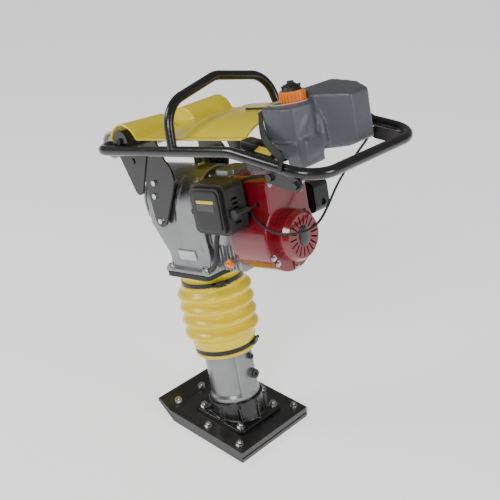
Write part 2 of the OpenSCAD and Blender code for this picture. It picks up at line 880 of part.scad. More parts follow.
carb_w = 712;
module carburettor() {
    color("#8f9296") leg() {
        block(-232, -196, 56, 82, carb_w - 24, carb_w + 24);
        block(-246, -230, 60, 72, carb_w - 18, carb_w - 6);
        rod_w(-214, 69, carb_w - 42, carb_w - 24, 13);
        block(-246, -232, 60, 69, carb_w + 8, carb_w + 20);
        rod_v(choke_u, 60, 76, carb_w + 14, 3);
        rod_v(choke_u, 76, 78, carb_w + 14, 5);
    }
}

choke_u = -240;
module choke_lever() {
    color("#202124") leg() difference() {
        link(71, 74, [choke_u, carb_w + 14], 7, [choke_u - 22, carb_w - 2], 4);
        rod_v(choke_u, 60, 80, carb_w + 14, 3 + fit_gap);
    }
}

box_u0 = -276;
box_u1 = -155;
box_w0 = 650;
box_w1 = 780;
knob_u = box_u1 + 8.5;
knob_w = 706;
module cleaner_base() {
    color("#17181a") leg() difference() {
        union() {
            slab_v(86, 108) round_rect(box_u0, box_u1, box_w0, box_w1, 16);
            link(94, 108, [knob_u, knob_w], 9, [box_u1 - 3, knob_w], 8);
        }
        rod_v(knob_u, 97, 109, knob_w, 3.5 + fit_gap);
        slab_v(90, 109) round_rect(box_u0 + 3, box_u1 - 3, box_w0 + 3, box_w1 - 3, 13);
        rod_v(-214, 80, 92, carb_w, 15);
        rod_v(-205, 80, 92, 668, 3.3);
    }
}

module air_filter() {
    color("#5a4a34") leg() difference() {
        slab_v(92, 140) round_rect(box_u0 + 16, box_u1 - 16, box_w0 + 16, box_w1 - 16, 12);
        slab_v(96, 141) round_rect(box_u0 + 30, box_u1 - 30, box_w0 + 30, box_w1 - 30, 6);
        rod_v(-214, 90, 97, carb_w, 15);
    }
}

module cleaner_cover() {
    color("#1b1c1e") leg() difference() {
        union() {
            slab_v(108.3, 150) round_rect(box_u0, box_u1, box_w0, box_w1, 16);
            slab_v(149, 160) round_rect(box_u0 + 12, box_u1 - 6, box_w0 + 6, box_w1 - 8, 14);
            link(108.3, 138, [knob_u, knob_w], 9, [box_u1 - 3, knob_w], 8);
        }
        slab_v(107, 146) round_rect(box_u0 + 4, box_u1 - 4, box_w0 + 4, box_w1 - 4, 12);
        rod_v(knob_u, 107, 139, knob_w, 3.5 + fit_gap);
        for (i = [0:5])
            block(box_u0 - 1, box_u0 + 5, 112, 132, 676 + 12 * i, 682 + 12 * i);
    }
}

module cleaner_knob() {
    color("#232427") leg() {
        rod_v(knob_u, 98, 139, knob_w, 3.5);
        rod_v(knob_u, 138.3, 146, knob_w, 8);
    }
}

muffler_box = [-330, -210, -165, -106, 628, 712];
module muffler() {
    b = muffler_box;
    color("#3d3f42") leg() {
        slab_v(b[2] + 5, b[3]) round_rect(b[0] + 6, b[1] - 6, b[4] + 6, b[5] - 6, 14);
        rod_v(-190, -112, -60, 690, 11);
        rod_u(-222, -182, -120, 690, 11);
    }
}

module muffler_guard() {
    b = muffler_box;
    color("#33363a") leg() difference() {
        slab_v(b[2], b[3] - 2) round_rect(b[0], b[1], b[4], b[5], 18);
        slab_v(b[2] + 3, b[3] - 1) round_rect(b[0] + 3, b[1] - 3, b[4] + 3, b[5] - 3, 15);
        for (i = [0:5])
            block(b[0] + 22 + 14 * i, b[0] + 28 + 14 * i, b[2] - 1, b[2] + 4, b[4] + 16, b[5] - 16);
        rod_u(-225, -200, -120, 690, 12.5);
        rod_u(b[0] - 1, b[0] + 5, -140, 652, 9);
    }
}

module spark_plug() {
    w = engine_w + 148;
    color("#232427") leg() {
        rod_v(-160, -58, -50, w, 6);
        translate([-160, -58, w]) rotate([90, 0, 0]) hex(16, 4);
        rod_v(-160, -66, -62, w, 5.5);
        rod_v(-160, -84, -66, w, 8);
        rod_w(-160, -79, w - 26, w, 6);
    }
}

module oil_cap() {
    color("#c8a030") leg() {
        rod_v(-180, 80.5, 84.4, engine_w - 62, 9);
        rod_v(-180, 84.4, 92, engine_w - 62, 11);
        block(-189, -171, 91, 99, engine_w - 64, engine_w - 60);
    }
}

// ---------------------------------------------------------------- brackets and handle

module side_brackets() {
    color("#151618") leg()
        for (s = [-1, 1]) {
            v0 = s > 0 ? bracket_v : -bracket_v - bracket_t;
            difference() {
                union() {
                    link(v0, v0 + bracket_t, [12, 778], 58, [38, 660], 23);
                    link(v0, v0 + bracket_t, [12, 778], 50, [mount_u, mount_w], 28);
                }
                for (p = case_bolt_at)
                    rod_v(p[0], -120, 120, p[1], 4.2);
                rod_v(mount_u, -120, 120, mount_w, 8);
            }
        }
}

bend_u = -356;
mid_bend = 140;
end_bend = 70;
front_bend = 50;
slope_u = bend_u - mid_bend * sin(grip_slope);
slope_w = handle_w - mid_bend * (1 - cos(grip_slope));
grip_run = round(((slope_u + handle_rear) / cos(grip_slope) - end_bend) * 10) / 10;

// Height of the side tube's centre line behind the middle bend
function tube_w(u) = slope_w + (u - slope_u) * tan(grip_slope);

module handle_frame() {
    r = tube_d / 2;
    t = handle_wall;
    side_run = handle_front - front_bend - bend_u;
    color("#111214") leg() translate([handle_front, front_bend - handle_v, handle_w])
        rotate([0, 0, 90])
        run(2 * (handle_v - front_bend), r, t)
        turn(front_bend, 90, 0, r, t)
        run(side_run, r, t)
        turn(mid_bend, grip_slope, -90, r, t)
        run(grip_run, r, t)
        turn(end_bend, 90, 0, r, t)
        run(2 * (handle_v - end_bend), r, t)
        turn(end_bend, 90, 0, r, t)
        run(grip_run, r, t)
        turn(mid_bend, grip_slope, -90, r, t)
        run(side_run, r, t)
        turn(front_bend, 90, 0, r, t);
}

// Gabled bar, so that a hook finds the middle
lift_r = 12;
lift_roof = 11.5;
lift_bend = 82;
lift_top_bend = 75;
lift_post = 80.8;
lift_side = 113.5;
lift_foot = 52;
lift_turn = lift_post - lift_roof;
lift_v = lift_top_bend * sin(lift_roof) + lift_side * cos(lift_roof)
    + lift_bend * (sin(lift_post) - sin(lift_roof)) + lift_foot * cos(lift_post);
lift_drop = lift_top_bend * (1 - cos(lift_roof)) + lift_side * sin(lift_roof)
    + lift_bend * (cos(lift_roof) - cos(lift_post)) + lift_foot * sin(lift_post);

module lifting_bar() {
    r = lift_r;
    color("#111214") leg() difference() {
        translate([-161, 0, lift_w]) rotate([0, lift_lean, 0])
            translate([0, -lift_v, -lift_drop]) rotate([lift_post, 0, 0]) rotate([0, 0, 90])
            run(lift_foot, r, 3)
            turn(lift_bend, lift_turn, -90, r, 3)
            run(lift_side, r, 3)
            turn(lift_top_bend, 2 * lift_roof, -90, r, 3)
            run(lift_side, r, 3)
            turn(lift_bend, lift_turn, -90, r, 3)
            run(lift_foot, r, 3);
        for (s = [-1, 1])
            rod_u(-260, -60, s * handle_v, handle_w, tube_d / 2);
    }
}

rear_plate_u = [-484, -553];
rear_plate_w = [tube_w(-484) - 28, tube_w(-553) - 28];
module handle_plates() {
    t = 6;
    color("#151618") leg()
        for (s = [-1, 1]) {
            v0 = s > 0 ? plate_v - t : -plate_v;
            r0 = s > 0 ? handle_v - 3 : -handle_v - 2;
            // front plate, welded inside the tube and bolted to the rubber mount
            difference() {
                union() {
                    link(v0, v0 + t, [mount_u, mount_w], 28, [0, 770], 16);
                    link(v0, v0 + t, [-50, handle_w - 4], 12, [0, 772], 16);
                    slab_v(v0, v0 + t) polygon([
                        [mount_u + 10, mount_w - 8], [mount_u - 20, handle_w + 4],
                        [-52, handle_w + 4], [-8, 774], [8, 774]]);
                    rod_v(1, v0 - 3, v0 + t + 3, 844, 8);
                }
                rod_v(mount_u, -200, 200, mount_w, 8 + fit_gap);
            }
            // rear plate under the grip's slope
            difference() {
                link(r0, r0 + 5, [rear_plate_u[0], rear_plate_w[0]], 16, [rear_plate_u[1], rear_plate_w[1]], 16);
                side_tube(s, tube_d / 2);
                end_tube(s, tube_d / 2);
            }
            for (i = [0, 1])
                translate([rear_plate_u[i], s * (handle_v + 2), rear_plate_w[i]])
                    rotate([-s * 90, 0, 0]) hex(15, 8);
        }
    // housing of the throttle lever, saddled on the right tube
    color("#151618") leg() difference() {
        union() {
            rod_v(lever_u, -handle_v, lever_v, tube_w(lever_u), 17);
            rod_v(lever_u, lever_v, lever_v + 5, tube_w(lever_u), 4);
            rod_v(lever_u, lever_v + 5, lever_v + 7, tube_w(lever_u), 7);
            block(lever_u - 8, lever_u + 8, lever_v - 11, lever_v - 1, tube_w(lever_u) - 34, tube_w(lever_u) - 10);
        }
        side_tube(-1, tube_d / 2);
        rod_w(lever_u, lever_v - 6, tube_w(lever_u) - 35, tube_w(lever_u) - 25, 4.6);
        block(lever_u - 30, lever_u + 30, -handle_v - 20, -handle_v, 700, 1000);
    }
}

// Straight sloping stretch of the side tube, as a solid to cut with
module side_tube(s, r) {
    translate([slope_u, s * handle_v, slope_w]) rotate([0, -90 - grip_slope, 0]) cylinder(r = r, h = grip_run);
}

// The bend that follows it at the rear
module end_tube(s, r) {
    translate([slope_u, s * handle_v, slope_w]) rotate([0, -90 - grip_slope, 0])
        translate([0, -s * end_bend, grip_run]) rotate([0, 90, 0]) rotate([0, 0, 90])
        rotate_extrude(angle = 180) translate([end_bend, 0]) circle(r);
}

module rubber_mounts() {
    inner = bracket_v + bracket_t;
    outer = plate_v - 6;
    color("#1a1a1a") leg()
        for (s = [-1, 1]) {
            rod_v(mount_u, s > 0 ? inner : -outer, s > 0 ? outer : -inner, mount_w, 25);
            rod_v(mount_u, s > 0 ? outer : -outer - 12, s > 0 ? outer + 12 : -outer, mount_w, 8);
            rod_v(mount_u, s > 0 ? inner - 14 : -inner, s > 0 ? inner : -inner + 14, mount_w, 8);
        }
}

module roller() {
    wall = 5;
    color("#b9bcbc") leg() difference() {
        rod_v(handle_front, -145, 145, handle_w, roller_r);
        rod_v(handle_front, -146, 146, handle_w, tube_d / 2 + fit_gap);
        for (s = [-1, 1])
            difference() {
                rod_v(handle_front, s > 0 ? 133 : -146, s > 0 ? 146 : -133, handle_w, roller_r - wall);
                rod_v(handle_front, -147, 147, handle_w, tube_d / 2 + wall);
            }
    }
}

// Cover: two round caps over the mounts, a low deck and a long hump behind
hump_back = -392;
hump_front = -176;
cover_w = handle_w + tube_d / 2 + 0.4;
cover_v = plate_v - 8;
module hump_outline(inset) {
    half = cover_v - inset;
    rise = 50 - inset;
    polygon(concat([[-half, 0]],
        [for (a = [180:-10:0]) [half * cos(a), rise * pow(sin(a), 0.7)]],
        [[half, 0]]));
}

lobe_r = 56;
lobe_u = mount_u - 3;
lobe_w = mount_w - 14;
module top_cover() {
    wall = 3;
    color("#f2d024") leg() {
        difference() {
            translate([0, 0, cover_w]) slab_u(hump_back, hump_front) hump_outline(0);
            translate([0, 0, cover_w - 0.5]) slab_u(hump_back - 1, hump_front - wall) hump_outline(wall);
        }
        difference() {
            union() {
                slab_w(cover_w + 14, cover_w + 14 + wall)
                    round_rect(hump_front - 1, lobe_u + lobe_r - 2, -cover_v, cover_v, 6);
                for (s = [-1, 1])
                    rod_v(lobe_u, s > 0 ? 28 : -cover_v, s > 0 ? cover_v : -28, lobe_w, lobe_r);
            }
            for (s = [-1, 1])
                rod_v(lobe_u, s > 0 ? 31 : -cover_v - 1, s > 0 ? cover_v + 1 : -31, lobe_w, lobe_r - wall);
            block(lobe_u - 70, lobe_u + 70, -200, 200, 700, cover_w);
        }
    }
}

// ---------------------------------------------------------------- tank

neck_r = 17;
module tank() {
    color("#4a4d55") leg() difference() {
        union() {
            slab_w(876, neck_w) polygon([
                [-408, 30], [-408, 110], [-424, 130], [-478, 134], [-500, 116], [-510, 60],
                [-480, 10], [-420, 10]]);
            slab_w(838, 877) polygon([
                [-414, 30], [-414, 98], [-428, 114], [-500, 112], [-512, 98], [-508, 30]]);
            slab_w(815, 839) polygon([
                [-454, 34], [-454, 104], [-464, 111], [-503, 111], [-511, 98], [-507, 34]]);
            intersection() {
                difference() {
                    slab_w(830, 985) polygon([
                        [-400, 30], [-478, 26], [-562, -18], [-562, -84], [-500, -128], [-400, -128]]);
                    rod_w(tank_u, neck_v, neck_w - 0.5, 990, 35);
                }
                slab_v(-200, 200) polygon([
                    [-402, 834], [-402, 964], [-430, 972], [-566, 955], [-566, 842], [-540, 834]]);
            }
            rod_w(tank_u, neck_v, neck_w, neck_w + collar_h - 3, neck_r + 4);
        }
        rod_w(tank_u, neck_v, neck_w - 60, neck_w + collar_h, neck_r);
    }
}

module filler_collar() {
    color("#f08a1d") leg() difference() {
        union() {
            rod_w(tank_u, neck_v, neck_w + 0.2, neck_w + collar_h, 29);
            for (i = [0:23])
                translate([tank_u, neck_v, 0]) rotate([0, 0, 15 * i])
                    block(28, 31, -1.8, 1.8, neck_w + 3, neck_w + collar_h - 4);
        }
        rod_w(tank_u, neck_v, neck_w - 1, neck_w + collar_h + 1, neck_r + 4);
    }
}

module tank_cap() {
    color("#141517") leg() translate([tank_u, neck_v, neck_w + collar_h + 0.2]) {
        cylinder(r1 = 24, r2 = 20, h = 8);
        translate([0, 0, 8]) cylinder(r1 = 20, r2 = 10, h = 8);
        translate([0, 0, 16]) cylinder(r = 8, h = 5);
        for (i = [0:5])
            rotate([0, 0, 60 * i]) translate([14, -2, 6]) cube([9, 4, 6]);
        difference() {
            translate([0, 0, -16]) cylinder(r = neck_r - 0.4, h = 16);
            translate([0, 0, -17]) cylinder(r = neck_r - 3, h = 15);
        }
    }
}

tether_w = neck_w + 0.2;
module cap_tether() {
    color("#c9cbd0") leg() difference() {
        union() {
            rod_w(tank_u, neck_v, tether_w, tether_w + 2, 34.2);
            rod_w(tank_u + 15, neck_v + 15, tether_w, tether_w + 2, 34.2);
        }
        rod_w(tank_u, neck_v, tether_w - 1, tether_w + 3, 31.4);
        rod_w(tank_u + 15, neck_v + 15, tether_w - 1, tether_w + 3, 31.2);
    }
}

module tank_cradle() {
    color("#151618") leg() {
        block(-448, -404, -plate_v, plate_v, 830, 834);
        for (s = [-1, 1])
            block(-448, -404, s > 0 ? plate_v - 4 : -plate_v, s > 0 ? plate_v : -plate_v + 4, 830, 866);
    }
}

module fuel_cock() {
    color("#8f9296") leg() {
        rod_w(-470, 88, 795, 815, 6);
        block(-478, -462, 80, 96, 786, 800);
        rod_u(-462, -454, 88, 792, 4);
    }
}

module cock_lever() {
    color("#b3151c") leg() {
        rod_v(-470, 96.3, 101, 793, 5);
        block(-473, -467, 98, 103, 776, 793);
    }
}

hose_route = [[-454, 88, 792], [-436, 88, 790], [-410, 84, 786], [-370, 78, 784], [-330, 74, 782],
    [-290, 72, 776], [-258, 70, 767], [-234, 69, 760], [-224, 69, 750], [-224, 69, 743],
    [-224, 69, carb_w + 24.3]];
module fuel_hose() {
    color("#1a1b1d") leg() sweep(curve(hose_route, 3), 4.5, 10);
}

module throttle_lever() {
    color("#b3151c") leg() difference() {
        union() {
            link(lever_v + 0.4, lever_v + 4.4, [lever_u, tube_w(lever_u)], 12, [lever_u + 6, tube_w(lever_u) + 44], 6);
            link(lever_v + 0.4, lever_v + 4.4, [lever_u, tube_w(lever_u)], 11, [lever_u - 14, tube_w(lever_u) - 12], 4);
        }
        rod_v(lever_u, lever_v - 1, lever_v + 6, tube_w(lever_u), 4 + fit_gap);
    }
}

cable_route = [[-246.6, 66, 700], [-254, 66.5, 700], [-268, 70, 696], [-296, 82, 672], [-350, 86, 646], [-384, 60, 634],
    [-398, 20, 630], [-398, -30, 636], [-392, -80, 660], [-396, -120, 700], [-416, -152, 744],
    [-446, -172, 784], [lever_u, lever_v - 6, 812], [lever_u, lever_v - 6, tube_w(lever_u) - 26]];
module throttle_cable() {
    color("#1a1b1d") leg() sweep(curve(cable_route, 4), 3.2, 8);
}

module stop_switch() {
    color("#b3151c") leg() difference() {
        slab_v(switch_v - 6, switch_v + 6) polygon([
            [shroud_back - 3, switch_w - 9], [shroud_back - 11, switch_w - 9],
            [shroud_back - 9, switch_w], [shroud_back - 14, switch_w + 9],
            [shroud_back - 3, switch_w + 9]]);
        rod_v(shroud_back - 6, switch_v - 7, switch_v + 7, switch_w, 1.5 + fit_gap);
    }
}

wear_plate();
shoe_board();
shoe_bolts();
foot_casting();
foot_studs();
spring_cylinder();
oil_plugs();
cylinder_cap();
ram_springs();
bellows();
lower_clamp();
upper_clamp();
guide_tube();
guide_bush();
piston_rod();
crankcase();
crankcase_seal();
crankcase_cover();
case_bolts();
breather();
crank_gear();
drive_bearings();
con_rod();
pinion_drum();
clutch_shoes();
crankshaft();
side_brackets();
engine_block();
head_cover();
fan_shroud();
starter_cover();
starter_grip();
flywheel();
carburettor();
choke_lever();
cleaner_base();
air_filter();
cleaner_cover();
cleaner_knob();
muffler();
muffler_guard();
spark_plug();
oil_cap();
fuel_cock();
cock_lever();
fuel_hose();
handle_frame();
lifting_bar();
handle_plates();
rubber_mounts();
roller();
top_cover();
tank();
filler_collar();
tank_cap();
cap_tether();
tank_cradle();
throttle_lever();
throttle_cable();
stop_switch();
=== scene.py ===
"""Tamping rammer: finishes, moulded covers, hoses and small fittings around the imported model."""

import json
import math

import bmesh
import bpy
import numpy as np
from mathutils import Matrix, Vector


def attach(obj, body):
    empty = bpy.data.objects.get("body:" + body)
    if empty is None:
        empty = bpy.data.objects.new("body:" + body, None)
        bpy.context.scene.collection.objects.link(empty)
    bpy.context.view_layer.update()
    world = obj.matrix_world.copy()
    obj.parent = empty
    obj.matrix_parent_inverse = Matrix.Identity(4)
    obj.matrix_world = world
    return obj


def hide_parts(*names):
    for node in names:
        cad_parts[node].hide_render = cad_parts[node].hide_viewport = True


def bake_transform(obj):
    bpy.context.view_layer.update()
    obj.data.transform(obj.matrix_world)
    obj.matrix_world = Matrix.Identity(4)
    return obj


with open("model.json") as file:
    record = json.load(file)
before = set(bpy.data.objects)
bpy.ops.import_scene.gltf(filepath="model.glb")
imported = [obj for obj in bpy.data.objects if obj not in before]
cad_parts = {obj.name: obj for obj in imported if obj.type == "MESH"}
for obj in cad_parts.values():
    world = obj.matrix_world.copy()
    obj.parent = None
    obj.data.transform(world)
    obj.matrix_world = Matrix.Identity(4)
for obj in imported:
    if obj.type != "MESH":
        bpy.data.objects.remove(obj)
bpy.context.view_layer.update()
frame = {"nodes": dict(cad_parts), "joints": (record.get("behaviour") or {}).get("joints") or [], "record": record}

JOINTS = {joint["name"]: joint for joint in frame["joints"]}
LEG_AXIS = JOINTS["leg_slide"]["axis"]
LEAN = math.atan2(LEG_AXIS[0], LEG_AXIS[2])

bl_info = {
    "name": "Tamping Rammer Looks",
    "version": (1, 0, 0),
    "blender": (4, 5, 0),
    "location": "View3D > Sidebar > Rammer",
    "description": "Finishes and moulded parts of a tamping rammer",
    "category": "Object",
}


# ------------------------------------------------------------ places

def leg_to_row(points):
    """Turns leg-frame points in mm (u forward, v left, w along the leg) into metres by the lean."""
    p = np.asarray(points, float)
    c, s = math.cos(LEAN), math.sin(LEAN)
    out = np.empty_like(p)
    out[..., 0] = p[..., 0] * c + p[..., 2] * s
    out[..., 1] = p[..., 1]
    out[..., 2] = p[..., 2] * c - p[..., 0] * s
    return out / 1000.0


def row_to_leg(points):
    """The inverse of leg_to_row: metres in the row frame to mm in the leg frame."""
    p = np.asarray(points, float) * 1000.0
    c, s = math.cos(LEAN), math.sin(LEAN)
    out = np.empty_like(p)
    out[..., 0] = p[..., 0] * c - p[..., 2] * s
    out[..., 1] = p[..., 1]
    out[..., 2] = p[..., 2] * c + p[..., 0] * s
    return out


# ------------------------------------------------------------ meshes

def finish_mesh(name, verts, faces, body, finish, smooth=True):
    """Makes a piece from arrays, its place in its mesh, and rides it on a body."""
    mesh = bpy.data.meshes.new(name)
    mesh.from_pydata(verts.tolist(), [], faces)
    mesh.validate()
    if smooth:
        mesh.polygons.foreach_set("use_smooth", [True] * len(mesh.polygons))
    obj = bpy.data.objects.new(name, mesh)
    bpy.context.scene.collection.objects.link(obj)
    mesh.materials.append(FINISH[finish])
    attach(obj, body)
    return obj


def grid_faces(rows, cols, wrap_rows=False, wrap_cols=False):
    """Quads of a rows x cols grid of points, as one array; either way may close on itself."""
    r = np.arange(rows if wrap_rows else rows - 1)
    c = np.arange(cols if wrap_cols else cols - 1)
    a, b = np.meshgrid(r, c, indexing="ij")
    a2, b2 = (a + 1) % rows, (b + 1) % cols
    quads = np.stack([a * cols + b, a * cols + b2, a2 * cols + b2, a2 * cols + b], -1)
    return quads.reshape(-1, 4).tolist()


RING_START = np.array([0.13, 0.21, 0.97])  # a direction that no path here follows


def tube_points(path, radius, sides):
    """Rings of points round a path, each square to the path's direction there."""
    p = np.asarray(path, float)
    d = np.gradient(p, axis=0)
    d /= np.linalg.norm(d, axis=1, keepdims=True)
    e = np.cross(d, RING_START)
    e /= np.linalg.norm(e, axis=1, keepdims=True)
    f = np.cross(d, e)
    a = np.linspace(0, 2 * math.pi, sides, endpoint=False)
    r = np.broadcast_to(np.asarray(radius, float), (len(p),))
    across = e[:, None] * np.cos(a)[None, :, None] + f[:, None] * np.sin(a)[None, :, None]
    return p[:, None] + r[:, None, None] * across


def spline(points, per_span=8):
    """A Catmull-Rom curve through points, as one array."""
    p = np.asarray(points, float)
    q = np.vstack([2 * p[0] - p[1], p, 2 * p[-1] - p[-2]])
    t = np.linspace(0, 1, per_span, endpoint=False)[:, None]
    spans = []
    for i in range(len(p) - 1):
        before, here, there, after = q[i:i + 4]
        linear = there - before
        square = 2 * before - 5 * here + 4 * there - after
        cube = 3 * here - before - 3 * there + after
        spans.append(0.5 * (2 * here + linear * t + square * t ** 2 + cube * t ** 3))
    return np.vstack(spans + [p[-1:]])


def tube(name, path, radius, body, finish, sides=16):
    """A closed tube along a leg-frame path, with flat ends."""
    rings = leg_to_row(tube_points(path, radius, sides))
    n = len(rings)
    faces = grid_faces(n, sides, wrap_cols=True)
    faces.append(list(range(sides)))
    faces.append(list(range((n - 1) * sides, n * sides))[::-1])
    verts = rings.reshape(-1, 3)
    return finish_mesh(name, verts, [f[::-1] for f in faces], body, finish)


def superellipsoid(half, power, rows=24, cols=48):
    """Points of a rounded block round the origin; a power below one squares a sphere's sides."""
    th = np.linspace(-math.pi / 2, math.pi / 2, rows)[:, None]
    ph = np.linspace(-math.pi, math.pi, cols, endpoint=False)[None, :]

    def soft(x):
        return np.sign(x) * np.abs(x) ** power

    x = soft(np.cos(th)) * soft(np.cos(ph)) * half[0]
    y = soft(np.cos(th)) * soft(np.sin(ph)) * half[1]
    z = soft(np.sin(th)) * half[2] * np.ones_like(ph)
    return np.stack([x, y, z], -1)


STRAP_POWER = 0.3  # squares a strap's section; 1 makes it an ellipse


def strap(name, path, outward, width, thick, body, finish):
    """A flat band along a path, whose rings are rounded rectangles with a flat side outward."""
    p = np.asarray(path, float)
    d = np.gradient(p, axis=0)
    d /= np.linalg.norm(d, axis=1, keepdims=True)
    e = np.cross(d, np.asarray(outward, float))
    e /= np.linalg.norm(e, axis=1, keepdims=True)
    f = np.cross(e, d)
    a = np.linspace(0, 2 * math.pi, 24, endpoint=False)
    x = np.sign(np.cos(a)) * np.abs(np.cos(a)) ** STRAP_POWER * width / 2
    y = np.sign(np.sin(a)) * np.abs(np.sin(a)) ** STRAP_POWER * thick / 2
    rings = leg_to_row(p[:, None] + e[:, None] * x[None, :, None] + f[:, None] * y[None, :, None])
    n, m = rings.shape[:2]
    faces = [q[::-1] for q in grid_faces(n, m, wrap_cols=True)]
    faces += [list(range(m)), list(range((n - 1) * m, n * m))[::-1]]
    return finish_mesh(name, rings.reshape(-1, 3), faces, body, finish)


def rounded_block(name, centre, half, body, finish, power=0.22, tilts=()):
    """A closed rounded block in the leg frame, turned by each (axis, degrees) of tilts in order."""
    pts = superellipsoid(half, power)
    for tilt in tilts:
        pts = pts @ rotation(*tilt).T
    pts = leg_to_row(pts + np.asarray(centre, float))
    rows, cols = pts.shape[:2]
    faces = grid_faces(rows, cols, wrap_cols=True)
    return finish_mesh(name, pts.reshape(-1, 3), faces, body, finish)


def rotation(axis, degrees):
    """Rotation matrix about u, v or w."""
    a = math.radians(degrees)
    c, s = math.cos(a), math.sin(a)
    return {
        "u": np.array([[1, 0, 0], [0, c, -s], [0, s, c]]),
        "v": np.array([[c, 0, s], [0, 1, 0], [-s, 0, c]]),
        "w": np.array([[c, -s, 0], [s, c, 0], [0, 0, 1]]),
    }[axis]


def turned(profile, sides):
    """Points of a profile of (radius, height) pairs turned about w."""
    p = np.asarray(profile, float)
    a = np.linspace(0, 2 * math.pi, sides, endpoint=False)
    return np.stack([p[:, :1] * np.cos(a), p[:, :1] * np.sin(a), np.repeat(p[:, 1:], sides, 1)], -1)


AIM = {"w": np.eye(3), "-u": rotation("v", -90)}


def turned_parts(name, places, profile, aim, body, finish, sides=24):
    """The same turned shape at each place, its axis aimed along an AIM direction."""
    base = turned(profile, sides)
    rows = len(profile)
    one = grid_faces(rows, sides, wrap_cols=True)
    verts, faces = [], []
    for k, place in enumerate(places):
        pts = base @ AIM[aim].T + np.asarray(place, float)
        verts.append(leg_to_row(pts).reshape(-1, 3))
        faces += [[i + k * rows * sides for i in f] for f in one]
    return finish_mesh(name, np.vstack(verts), faces, body, finish, smooth=False)


# ------------------------------------------------------------ finishes

FINISH = {}
SEAM_HALF = 0.0016  # half the width of a moulded parting line, m
SEAM_HEIGHT = 6.0  # its height in the bump, against about 1 for the grain
TANK_SEAM = 0.893  # height of the tank's parting line along the leg, m


def add_socket(group, name, kind, way, value=None):
    """Adds an input or output to a node group, with a default where one is given."""
    sock = group.interface.new_socket(name=name, in_out=way, socket_type=kind)
    if value is not None:
        sock.default_value = value


def make_grain_group():
    """Surface height: fine noise plus broader waves, both on the piece's own coordinates."""
    g = bpy.data.node_groups.new("SurfaceGrain", "ShaderNodeTree")
    add_socket(g, "Vector", "NodeSocketVector", "INPUT")
    add_socket(g, "Scale", "NodeSocketFloat", "INPUT", 400.0)
    add_socket(g, "Waves", "NodeSocketFloat", "INPUT", 0.3)
    add_socket(g, "Height", "NodeSocketFloat", "OUTPUT")
    n, link = g.nodes, g.links.new
    gi, go = n.new("NodeGroupInput"), n.new("NodeGroupOutput")
    fine = n.new("ShaderNodeTexNoise")
    fine.inputs["Detail"].default_value = 3.0
    broad = n.new("ShaderNodeTexNoise")
    broad.inputs["Scale"].default_value = 28.0
    broad.inputs["Detail"].default_value = 2.0
    mix = n.new("ShaderNodeMath")
    mix.operation = "MULTIPLY_ADD"
    link(gi.outputs["Vector"], fine.inputs["Vector"])
    link(gi.outputs["Vector"], broad.inputs["Vector"])
    link(gi.outputs["Scale"], fine.inputs["Scale"])
    link(broad.outputs["Fac"], mix.inputs[0])
    link(gi.outputs["Waves"], mix.inputs[1])
    link(fine.outputs["Fac"], mix.inputs[2])
    link(mix.outputs[0], go.inputs["Height"])
    return g


